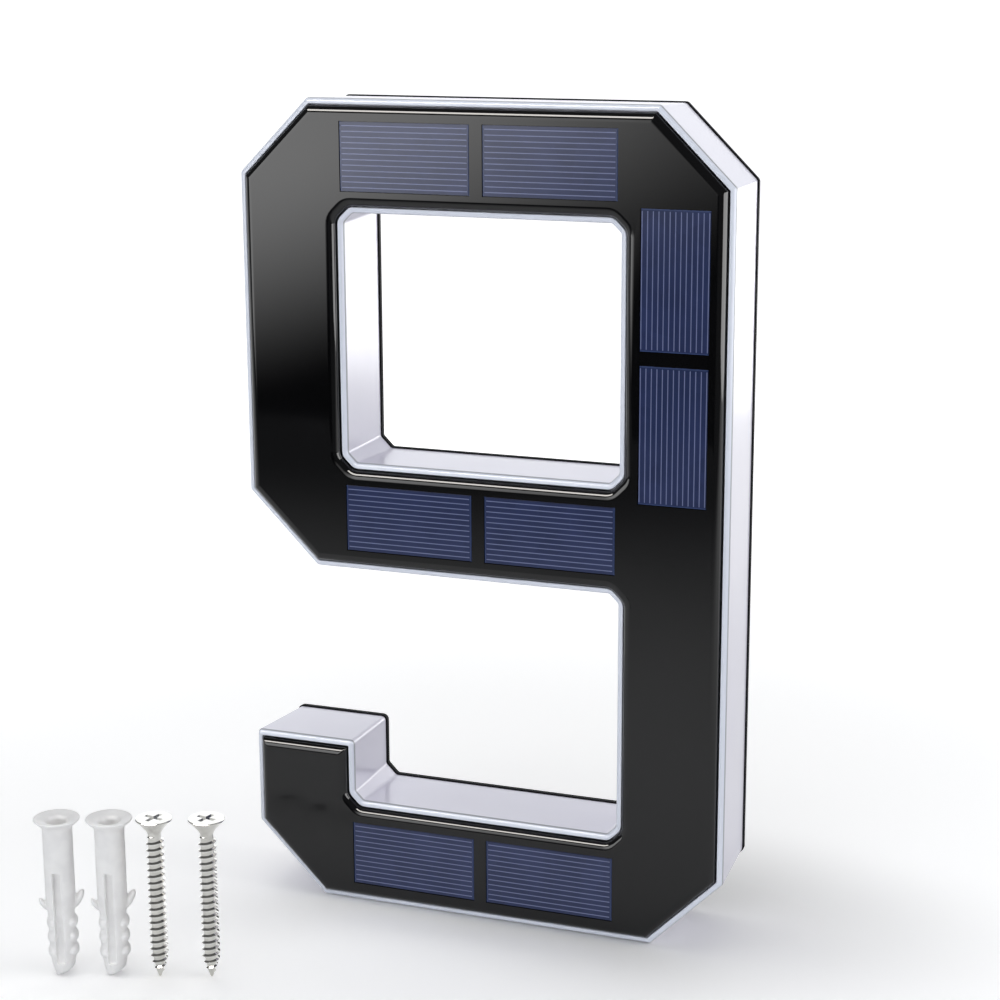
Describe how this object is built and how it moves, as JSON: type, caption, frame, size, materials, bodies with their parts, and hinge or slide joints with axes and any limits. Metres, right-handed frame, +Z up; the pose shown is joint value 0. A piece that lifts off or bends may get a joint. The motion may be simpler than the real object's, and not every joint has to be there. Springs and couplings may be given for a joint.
{
  "type": "illuminated house number",
  "caption": "Solar-lit house numeral in the shape of a nine with a glossy face in a translucent housing, and its wall screws and plugs.",
  "frame": {"origin": "on the floor, under the middle of the numeral's foot, at half the depth of the housing", "axes": "+Z up, +X to the right seen from the front, the lit front faces -Y and the wall side faces +Y"},
  "size_m": [0.1336, 0.0829, 0.18],
  "materials": {
    "housing": "satin, translucent white",
    "face": "high gloss",
    "adhesive": "matte",
    "solar_cell": "glossy, fine silver lines",
    "ribbon": "tinned",
    "strip_board": "satin",
    "diode": "clear resin",
    "control_board": "satin",
    "component": "matte",
    "switch": "matte",
    "button": "fine texture",
    "rubber": "matte",
    "battery": "glossy sleeve",
    "cradle": "satin",
    "wire": "satin",
    "cover": "fine texture",
    "small_screw": "zinc plated",
    "nylon": "satin, slightly translucent",
    "wall_screw": "nickel plated"
  },
  "bodies": {
    "numeral": {"diffuser_housing": "housing", "face_panel": "face", "face_bond": "adhesive", "cell_top_left": "solar_cell", "cell_top_right": "solar_cell", "cell_right_upper": "solar_cell", "cell_right_lower": "solar_cell", "cell_middle_left": "solar_cell", "cell_middle_right": "solar_cell", "cell_bottom_left": "solar_cell", "cell_bottom_right": "solar_cell", "cell_ribbons": "ribbon", "led_strip_top": "strip_board", "led_strip_left": "strip_board", "led_strip_middle": "strip_board", "led_strip_bottom": "strip_board", "led_chips": "diode", "control_board": "control_board", "board_components": "component", "switch_body": "switch", "switch_seal": "rubber", "back_gasket": "rubber", "battery": "battery", "battery_cradle": "cradle", "battery_leads": "wire", "led_leads": "wire", "solar_leads": "wire", "back_cover": "cover", "cover_screws": "small_screw", "board_screws": "small_screw"},
    "button": {"switch_button": "button"},
    "left_plug": {"wall_plug_left": "nylon"},
    "right_plug": {"wall_plug_right": "nylon"},
    "left_screw": {"wall_screw_left": "wall_screw"},
    "right_screw": {"wall_screw_right": "wall_screw"}
  },
  "joints": [
    {"name": "button_press", "type": "slide", "parent": "numeral", "child": "button", "axis": [0, -1, 0], "range_m": [0, 0.0012], "stiffness_N_per_m": 400, "springref_m": -0.002},
    {"name": "left_plug_lift", "type": "slide", "parent": "numeral", "child": "left_plug", "axis": [0, 0, 1], "range_m": [0, 0.05]},
    {"name": "right_plug_lift", "type": "slide", "parent": "numeral", "child": "right_plug", "axis": [0, 0, 1], "range_m": [0, 0.05]},
    {"name": "left_screw_lift", "type": "slide", "parent": "numeral", "child": "left_screw", "axis": [0, 0, 1], "range_m": [0, 0.05]},
    {"name": "right_screw_lift", "type": "slide", "parent": "numeral", "child": "right_screw", "axis": [0, 0, 1], "range_m": [0, 0.05]}
  ]
}
